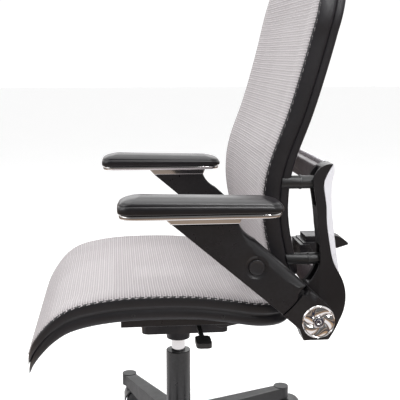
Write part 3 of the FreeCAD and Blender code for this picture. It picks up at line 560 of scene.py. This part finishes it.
def rib_height(v):
    """Relief of the cloth along its length: one tall rib and one low one."""
    phase = (v / (RIB * 1000)) % 1
    tall = math.exp(-((phase - 0.5) / 0.16) ** 2)
    low = math.exp(-(min(phase, 1 - phase) / 0.14) ** 2)
    return tall + 0.12 * low


def stretched(name, path, half_width, from_ends, body, node):
    """A sheet of mesh over a frame: rows follow the path, columns run across the chair.
    It lies on the frame round its border, sags inside it, and its long edges turn over in scallops."""
    frames = path_frames(path, RIB * 1000 / ROWS_PER_RIB)
    columns = int(2 * SEAT_HALF_W / COLUMN / 2) * 2
    bm = bmesh.new()
    uv = bm.loops.layers.uv.new("weave")
    edge = bm.verts.layers.float.new("edge")
    rows, area = [], 0.0
    for point, tangent, v in frames:
        normal = Vector((-tangent.y, tangent.x))
        width = half_width(point)
        scallop = math.sin(math.pi * v / (STITCH * 1000)) ** 2
        row = []
        for j in range(columns + 1):
            s = 2 * j / columns - 1
            from_edge = (1 - abs(s)) * width
            out = CLOTH_LIFT + RELIEF * 1000 * rib_height(v)
            share = max(0.0, min(1.0, (min(from_edge, from_ends(point)) - RIM_LAND) / SAG_RUN))
            out -= SAG * share * share * (3 - 2 * share)
            out -= max(0.0, 3 - from_edge) ** 2 * 0.2
            if j in (0, columns):
                out -= 1.2 + 0.8 * scallop
            position = point + normal * out
            x = s * (width + 0.4)
            vert = bm.verts.new(Vector(mm(x, position.x, SEAT_Z * 1000 + position.y)))
            vert[edge] = math.exp(-from_edge / 9)
            row.append((vert, (x / 1000 + 1, v / 1000)))
        rows.append(row)
    for one, two in zip(rows, rows[1:]):
        for j in range(columns):
            corners = (one[j], one[j + 1], two[j + 1], two[j])
            face = bm.faces.new([corner[0] for corner in corners])
            for loop, corner in zip(face.loops, corners):
                loop[uv].uv = corner[1]
    for (one, _, v1), (two, _, v2) in zip(frames, frames[1:]):
        area += (half_width(one) + half_width(two)) * (v2 - v1) / 1e6
    piece = place(name, bm, body, "mesh_fabric", 180, (node,))
    width = 2 * max(half_width(point) for point, _, _ in frames) / 1000
    return piece


def seat_cover():
    path = [p for p in SEAT_PROFILE if p[0] >= -284.5]
    return stretched("seat_cover", path, lambda p: at_height(SEAT_SIDE, p.x) - 0.6,
                     lambda p: min(p.x - SEAT_FRONT, SEAT_BACK - p.x),
                     "seat", "seat_mesh")


def seat_screws():
    """Two small screw heads in each side of the rim, above the lower lip."""
    below = 33.5
    steps = ((3.4, 1.2), (3.2, 0.4), (1.5, 0.4), (1.2, 1.6))     # (radius, depth in from the rim's side)
    bm = bmesh.new()
    for side in (-1, 1):
        for y in (-96, 62):
            centre = (y, seat_height(y) - below)
            rings = []
            for radius, depth in steps:
                x = side * (SEAT_W - depth) / 1000
                rings.append([bm.verts.new(side_point(x, p)) for p in circle(centre, radius, 20)])
            for one, two in zip(rings, rings[1:]):
                band(bm, one, two)
            bm.faces.new(rings[-1])
    return place("seat_screws", bm, "seat", "steel_black", 40)


# ---------------------------------------------------------------- backrest

BACK_PROFILE = curve([(158, 7), (134, 110), (130, 172), (139, 230), (168, 312), (192, 394), (213, 478),
                      (234, 577)], 12)
BACK_W = BACK_HALF_W * 1000
BACK_FOOT, BACK_TOP = 22.0, 562.0


def back_edge():
    """One edge of the backrest seen from the front, from its foot to its top."""
    w, z0, z1 = BACK_W, BACK_FOOT, BACK_TOP
    foot = (w - 47, z0)
    low, high = (w - 14, z0 + 32), (w, z1 - 110)
    return ([foot] + through(foot, (w - 24, z0 + 9), low, 14) + through(low, (w - 10, z0 + 160), high, 24)
            + through(high, (w - 19, z1 - 29), (w - 100, z1), 24))


BACK_SIDE = back_edge()


def back_depth(z):
    return at_height(BACK_PROFILE, z)


def back_ring(name, node, section):
    """One band of the back frame: a closed ring, with a section of (inset, depth behind the front)."""
    face = BACK_SIDE + [(-x, z) for x, z in reversed(BACK_SIDE)]
    rings = []
    for depth_in, behind in section:
        loop = inset(face, depth_in)
        rings.append([Vector(mm(x, back_depth(z) + behind, SEAT_Z * 1000 + z)) for x, z in loop])
    bm, _ = rings_mesh(rings, closed=True)
    return place(name, bm, "backrest", "rim_plastic", 50, (node,))


def back_frame():
    back_ring("back_frame_band", "back_frame_front",
              [(26, 4), (25, 1), (22, 0.2), (4, 0.3), (1.2, 1.4), (0, 4), (0, 24), (0.8, 27.4), (2.6, 29.4),
               (4, 30), (22, 30), (26, 28)])
    back_ring("back_frame_shell", "back_frame_rear",
              [(23, 30.2), (4.5, 30.2), (3.4, 31.2), (3, 33), (3, 40.5), (4.2, 44), (7, 45.8), (18, 46),
               (22, 44.6), (23, 42)])


def back_cover():
    path = [p for p in BACK_PROFILE if BACK_FOOT + 3 <= p[1] <= BACK_TOP - 3]
    return stretched("back_cover", path, lambda p: at_height(BACK_SIDE, p.y) - 0.6,
                     lambda p: min(p.y - BACK_FOOT, BACK_TOP - p.y),
                     "backrest", "back_mesh")


# ---------------------------------------------------------------- arms

ARM_TOP = (SLEEVE_HIGH.z - SEAT_Z) * 1000
ARM_TOP_FRONT = SLEEVE_LOW.y * 1000
ARM_TOP_L = 114.0
SEAM_AT = 56.0                           # place along the arm where the sleeve starts
CAP_R, CAP_HOLE_R = 29.6, 29.8
BUTTON_R, BUTTON_HOLE_R = 13.6, 14.0
SOFT_EDGE = [(0, 3.0), (0.6, 1.6), (1.8, 0.6), (4, 0), (13, 0), (19, 0.7), (24, 2.4), (28, 5.2), (31, 8.8),
             (33.2, 12.8), (34.5, 16.2), (35, 19)]


def arm_layers():
    """Layers across an arm, from its inner face to its softly rounded outer one."""
    drawn, thick = SOFT_EDGE[-1][0], (ARM_OUT - ARM_IN) * 1000
    return [(ARM_IN + x / drawn * thick / 1000, depth) for x, depth in SOFT_EDGE]


def arm_weight(point):
    """How wide the soft edge is at a place of the arm's outline: widest along its upper side."""
    along, across = arm_place(point)
    below_top = min(1.0, max(0.0, (ARM_TOP - point[1]) / 48))
    upper = min(1.0, max(0.0, (across - 6) / 24))
    wide = 0.1 + 0.9 * upper * below_top * (3 - 2 * below_top) * below_top
    return max(0.1, min(wide, 0.45 + max(0.0, along - SEAM_AT) / 60))


def sleeve(name, side):
    r = HUB_R
    points = outline(on_arm(SEAM_AT, -r + 0.5), (ARM_TOP_FRONT, ARM_TOP),
                     (ARM_TOP_FRONT + ARM_TOP_L, ARM_TOP),
                     on_arm(207, 38.5) + on_arm(176, 38), on_arm(SEAM_AT, r + 3.5),
                     on_arm(SEAM_AT - 3, 3) + on_arm(SEAM_AT, -r + 0.5))
    face = ARM_OUT
    steps = ((20.5, face), (19.6, face - 0.0003), (18.2, face - 0.0014), (15.6, face - 0.0018),
             (14.2, face - 0.0022), (BUTTON_HOLE_R, face - 0.004), (BUTTON_HOLE_R, face - 0.0125))
    bm = side_body(points, arm_layers(), side, [arm_weight(p) for p in points], (BUTTON, steps))
    place("arm_%s_sleeve_body" % name, bm, "arm_%s_height" % name, "arm_plastic", 60,
          ("arm_%s_sleeve" % name,))


def push_button(name, side):
    """The round height button, with a rounded edge and a dished face."""
    face = ARM_OUT
    profile = ((face - 0.009, 13.0), (face - 0.009, BUTTON_R), (face - 0.0012, BUTTON_R),
               (face - 0.0002, 13.2), (face + 0.0005, 12.4), (face + 0.0006, 11.6), (face + 0.0002, 10.6),
               (face - 0.0002, 8), (face - 0.0003, 4))
    place("arm_%s_push_button" % name, turned(BUTTON, side, profile), "arm_%s_button" % name,
          "button_plastic", 50, ("arm_%s_button" % name,))


def hub_arm(name, side):
    """The lower arm: hub disc, neck and the tongue inside the sleeve."""
    r = HUB_R
    far = (HUB[0] + r * math.cos(ARM_SLOPE), HUB[1] - r * math.sin(ARM_SLOPE))
    points = outline(on_arm(0, -r), on_arm(SEAM_AT - 0.4, -r + 0.5),
                     on_arm(SEAM_AT - 3.4, 3) + on_arm(SEAM_AT - 0.4, r + 3.5), on_arm(0, r),
                     far + on_arm(0, -r), step=3.0)
    weights = []
    for point in points:
        along, across = arm_place(point)
        ramp = max(0.0, min(1.0, (along - 22) / 30))
        weights.append(0.03 + (0.42 * ramp * ramp if across > 20 and along < SEAM_AT - 1 else 0.0))
    face = ARM_OUT
    steps = ((CAP_HOLE_R + 0.1, face), (CAP_HOLE_R, face - 0.001), (CAP_HOLE_R, face - 0.006))
    bm = side_body(points, arm_layers(), side, weights, (HUB, steps))
    place("arm_%s_hub_body" % name, bm, "arm_%s" % name, "arm_plastic", 50)
    bm = side_body(outline(on_arm(44, -19), on_arm(128, -19), on_arm(128, 25), on_arm(44, 25)),
                   [(ARM_IN + 0.0076, 1.2), (ARM_IN + 0.0086, 0), (ARM_OUT - 0.0086, 0),
                    (ARM_OUT - 0.0076, 1.2)], side)
    place("arm_%s_tongue" % name, bm, "arm_%s" % name, "arm_plastic", 40)
    pin = ((UPRIGHT_IN + 0.022, 9.0), (UPRIGHT_IN + 0.0225, 10.0), (ARM_IN + 0.001, 10.0),
           (ARM_IN + 0.001, 9.0))
    piece = place("arm_%s_pin" % name, turned(HUB, side, pin, 40), "arm_%s" % name, "arm_plastic", 40)
    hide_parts("arm_%s_lower" % name)


def swirl_cap(name, side):
    """Plated hub cap: a rounded rim round curved blades that twist in to the bolt."""
    blades, twist = 5, 0.62
    outer, inner = CAP_R, 9.2
    count, turns = 30, 216          # rings of faces, and faces in each

    def height(radius, angle):
        share = (radius - inner) / (outer - inner)
        phase = (angle * blades / (2 * math.pi) + twist * share ** 0.8) % 1
        blade = 3.0 * math.sin(math.pi * min(1.0, phase / 0.86)) ** 0.7 if phase < 0.86 else 0.0
        fade = math.sin(math.pi * min(1.0, max(0.0, share * 1.12 - 0.03))) ** 0.5
        return -2.6 + blade * fade + (2.4 * math.exp(-((radius - outer + 1.7) / 1.3) ** 2))

    rings = [[side_point(side * (ARM_OUT - 0.005), p) for p in circle(HUB, outer, turns)]]
    for i in range(count + 1):
        radius = outer - (outer - inner) * i / count
        ring = []
        for j in range(turns):
            angle = 2 * math.pi * j / turns
            x = ARM_OUT + 0.0014 + height(radius, angle) / 1000
            ring.append(side_point(side * x, (HUB[0] + radius * math.cos(angle),
                                              HUB[1] + radius * math.sin(angle))))
        rings.append(ring)
    rings.append([side_point(side * (ARM_OUT - 0.003), p) for p in circle(HUB, inner, turns)])
    place("arm_%s_swirl_cap" % name, rings_mesh(rings)[0], "arm_%s" % name, "arm_chrome", 60,
          ("arm_%s_hub_cap" % name,))


def pad_loop(low, high, depth, corner):
    """A rounded rectangle seen from above, inset by depth."""
    x0, x1 = low.x * 1000 + depth, high.x * 1000 - depth
    y0, y1 = low.y * 1000 + depth, high.y * 1000 - depth
    r = max(1.5, min(corner, (x1 - x0) / 2) - 0.02)
    points = []
    corners = ((x1 - r, y1 - r), (x0 + r, y1 - r), (x0 + r, y0 + r), (x1 - r, y0 + r))
    for quarter, (cx, cy) in enumerate(corners):
        for i in range(13):
            t = math.radians(90 * quarter + 90 * i / 12)
            points.append((cx + r * math.cos(t), cy + r * math.sin(t)))
    return points


def cushion(name):
    """Arm pad: a side band that pulls in to a crease, and a crowned top that falls to both ends."""
    node = "arm_%s_cushion" % name
    low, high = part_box(node)
    tall = (high.z - low.z) * 1000
    mid, half = (low.y + high.y) * 500, (high.y - low.y) * 500
    section = [(9, 0.0), (3.5, 0.0), (1.3, 0.02), (0.4, 0.08), (0.1, 0.2), (0.2, 0.36), (0.9, 0.47),
               (1.9, 0.53), (2.7, 0.555), (2.9, 0.58), (2.9, 0.62), (3.6, 0.69), (5.6, 0.78), (9, 0.86),
               (14, 0.925), (21, 0.97), (29, 0.992), (36, 1.0)]

    def top(y):
        share = min(1.0, abs(y - mid + 22) / (half + 22))
        return tall * (1 - 0.5 * share ** 1.5)

    rings = []
    for depth, level in section:
        loop = pad_loop(low, high, depth, 24 - depth * 0.5)
        rings.append([Vector(mm(x, y, low.z * 1000 + level * top(y))) for x, y in loop])
    bm = rings_mesh(rings)[0]
    piece = place("arm_%s_pad_skin" % name, bm, BODY_OF[node], "pad_skin", 180, (node,))
    smooth = piece.modifiers.new("smooth", "SUBSURF")
    smooth.levels = smooth.render_levels = 2


def pad_strip(name):
    """Plated band under the cushion, rounded outwards all the way round."""
    node = "arm_%s_trim" % name
    low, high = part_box(node)
    tall = (high.z - low.z) * 1000
    section = [(14, 0.0), (2.4, 0.0), (1.0, 0.06), (0.3, 0.2), (0.0, 0.42), (0.15, 0.66), (0.8, 0.82),
               (1.6, 0.9), (2.6, 0.93), (3.2, 1.0), (14, 1.0)]
    rings = []
    for depth, level in section:
        loop = pad_loop(low, high, depth, 27 - depth * 0.5)
        rings.append([Vector(mm(x, y, low.z * 1000 + level * tall)) for x, y in loop])
    bm = rings_mesh(rings, closed=True)[0]
    place("arm_%s_pad_band" % name, bm, BODY_OF[node], "arm_chrome", 55, (node,))
    under = Vector((0.013, 0.013, 0))
    plate = [[Vector(mm(x, y, z * 1000)) for x, y in pad_loop(low + under, high - under, 0.0, 16)]
             for z in (low.z + 0.0066, high.z)]
    place("arm_%s_pad_plate" % name, rings_mesh(plate)[0], BODY_OF[node], "arm_chrome", 40)


def arms():
    for name, side in SIDES:
        sleeve(name, side)
        push_button(name, side)
        hub_arm(name, side)
        swirl_cap(name, side)
        cushion(name)
        pad_strip(name)
        refined("arm_%s_hub_bolt" % name, 0.0008)
        refined("arm_%s_bracket" % name, 0.0016)


# ---------------------------------------------------------------- what keeps its CAD shape

# How wide the bevel on a node's sharp edges is, in metres
REFINED = {
    "base_star": 0.004, "gas_cylinder": 0.0012, "gas_rod": 0.0008, "rod_button": 0.0006,
    "tilt_housing": 0.0025, "tilt_axle": 0.001, "lift_lever": 0.0018, "tilt_lock_lever": 0.0018,
    "tension_knob": 0.0012, "seat_plate": 0.0012, "seat_underframe": 0.003,
    "carrier_beam": 0.002, "carrier_arm_left": 0.003, "carrier_arm_right": 0.003,
    "panel_top": 0.0022, "panel_low": 0.0022, "shell_top": 0.003, "lock_paddle": 0.002,
    "upright_left": 0.0055, "upright_right": 0.0055,
    "stud_upper_left": 0.0006, "stud_upper_right": 0.0006,
    "stud_lower_left": 0.0006, "stud_lower_right": 0.0006,
}


def refined_pieces():
    for node, bevel in REFINED.items():
        refined(node, bevel)
    for i in range(1, 6):
        refined("caster_%d_hood" % i, 0.0012)
        refined("caster_%d_wheels" % i, 0.0008)


def silver_shell(name, side):
    """The silver strip down the back of an upright, tapering to nothing where the upright widens."""
    low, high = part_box("shell_left")
    front = [(239, 210), (234.5, 194), (239.5, 158), (241, 130), (245, 102), (253, 62), (263, 40)]
    rear = [(261, 66), (252, 128), (248.5, 165), (248.5, 195), (252, 216), (250, 229.5)]
    points = outline((250, 229.5), front, (266.5, 36), rear)
    layers = [(low.x, 0.5), (low.x + 0.0007, 0), (high.x - 0.0007, 0), (high.x, 0.5)]
    bm = side_body(points, layers, side)
    place("silver_shell_" + name, bm, "back_carrier", "silver_plastic", 45, ("shell_" + name,))


def silver_shells():
    for name, side in SIDES:
        silver_shell(name, side)


def block(bm, low, high):
    """A box with softened edges, added to the mesh."""
    made = bmesh.ops.create_cube(bm, size=1.0)["verts"]
    for vert in made:
        vert.co = [a + (b - a) * (share + 0.5) for a, b, share in zip(low, high, vert.co)]
    edges = list({edge for vert in made for edge in vert.link_edges})
    bmesh.ops.bevel(bm, geom=edges, offset=0.0008, segments=2, profile=0.6, affect="EDGES")


def lock_block():
    """The height lock: a body, a ratchet of ten teeth on each side and a stepped cap."""
    low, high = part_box("lock_box")
    size = high - low
    bm = bmesh.new()
    block(bm, low + Vector((0.004, 0.007, 0)), high - Vector((0.004, 0.004, 0.011)))
    block(bm, (low.x + 0.014, low.y + 0.014, high.z - 0.013), (high.x - 0.014, high.y - 0.012, high.z))
    teeth = 10
    for i in range(teeth):
        z = low.z + 0.001 + (size.z - 0.014) * i / teeth
        block(bm, (low.x, low.y, z), (high.x, low.y + 0.034 - 0.0016 * i, z + 0.0021))
    return place("lock_block", bm, "back_carrier", "frame_plastic", 35, ("lock_box",))


# ---------------------------------------------------------------- studio

def studio_floor():
    bpy.ops.mesh.primitive_plane_add(size=40, location=(0, 0, -0.0005))
    floor = bpy.context.object
    floor.name = "studio_floor"
    floor.data.materials.append(floor_paint())


def softbox(name, place_at, target, size, power, colour=(1, 1, 1)):
    light = bpy.data.lights.new(name, "AREA")
    light.shape = "RECTANGLE"
    light.size, light.size_y = size
    light.energy = power
    light.color = colour
    lamp = bpy.data.objects.new(name, light)
    lamp.location = place_at
    lamp.rotation_euler = (Vector(target) - Vector(place_at)).to_track_quat("-Z", "Y").to_euler()
    bpy.context.scene.collection.objects.link(lamp)


def surroundings():
    """White to the eye; a bright ceiling, a dim near side and warm ground for what the gloss reflects."""
    world = bpy.data.worlds.new("studio")
    bpy.context.scene.world = world
    world.use_nodes = True
    tree = world.node_tree
    nodes, links = tree.nodes, tree.links
    nodes.clear()
    out = nodes.new("ShaderNodeOutputWorld")
    pick = nodes.new("ShaderNodeMixShader")
    seen, lit = nodes.new("ShaderNodeBackground"), nodes.new("ShaderNodeBackground")
    path, way = nodes.new("ShaderNodeLightPath"), nodes.new("ShaderNodeTexCoord")
    split, ramp = nodes.new("ShaderNodeSeparateXYZ"), nodes.new("ShaderNodeValToRGB")
    near, span = nodes.new("ShaderNodeMapRange"), nodes.new("ShaderNodeMapRange")
    span.inputs["From Min"].default_value = -1.0
    near.inputs["From Min"].default_value, near.inputs["From Max"].default_value = -0.1, 0.8
    near.inputs["To Min"].default_value, near.inputs["To Max"].default_value = 1.0, 0.16
    stops = ramp.color_ramp.elements
    stops[0].position, stops[0].color = 0.30, (0.30, 0.23, 0.17, 1)
    stops[1].position, stops[1].color = 0.62, (1, 1, 1, 1)
    for position, colour in ((0.44, (0.42, 0.33, 0.25, 1)), (0.49, (0.10, 0.09, 0.09, 1)),
                             (0.53, (0.8, 0.79, 0.8, 1))):
        stops.new(position).color = colour
    seen.inputs["Color"].default_value = (1, 1, 1, 1)
    seen.inputs["Strength"].default_value = 1.05
    links.new(way.outputs["Generated"], split.inputs[0])
    links.new(split.outputs["Z"], span.inputs["Value"])
    links.new(span.outputs["Result"], ramp.inputs["Fac"])
    links.new(ramp.outputs["Color"], lit.inputs["Color"])
    links.new(split.outputs["X"], near.inputs["Value"])
    links.new(near.outputs["Result"], lit.inputs["Strength"])
    links.new(path.outputs["Is Camera Ray"], pick.inputs["Fac"])
    links.new(lit.outputs[0], pick.inputs[1])
    links.new(seen.outputs[0], pick.inputs[2])
    links.new(pick.outputs[0], out.inputs["Surface"])


def camera():
    """A long lens at the chair's left, a little in front of it and above the arm pads."""
    turn, dip = math.radians(5.886), math.radians(10.181)
    look = Vector((-math.cos(dip) * math.cos(turn), math.cos(dip) * math.sin(turn), -math.sin(dip)))
    right = Vector((math.sin(turn), math.cos(turn), 0))
    up = right.cross(look)
    lens = bpy.data.cameras.new("camera")
    lens.lens = 73.2
    lens.sensor_width = 36.0
    eye = bpy.data.objects.new("camera", lens)
    basis = Matrix((right, up, -look)).transposed().to_4x4()
    eye.matrix_world = Matrix.Translation((1.604, -0.12, 0.866)) @ basis
    bpy.context.scene.collection.objects.link(eye)
    bpy.context.scene.camera = eye


# ---------------------------------------------------------------- the scene

seat_rim()
seat_cover()
seat_screws()
back_frame()
back_cover()
arms()
refined_pieces()
silver_shells()
lock_block()

studio_floor()
surroundings()
softbox("ceiling", (-0.3, 0, 2.7), (0, 0, 0.4), (2.6, 3.0), 42)
softbox("front", (0.3, -2.4, 1.9), (0, 0, 0.6), (1.6, 1.6), 14)
softbox("strip", (1.5, 0.7, 2.1), (0.28, 0.1, 0.55), (0.3, 2.4), 26)
softbox("far side", (-2.2, 0.0, 1.4), (0.28, 0.0, 0.65), (3.0, 0.9), 9)
camera()
bpy.context.scene.view_settings.view_transform = "Standard"
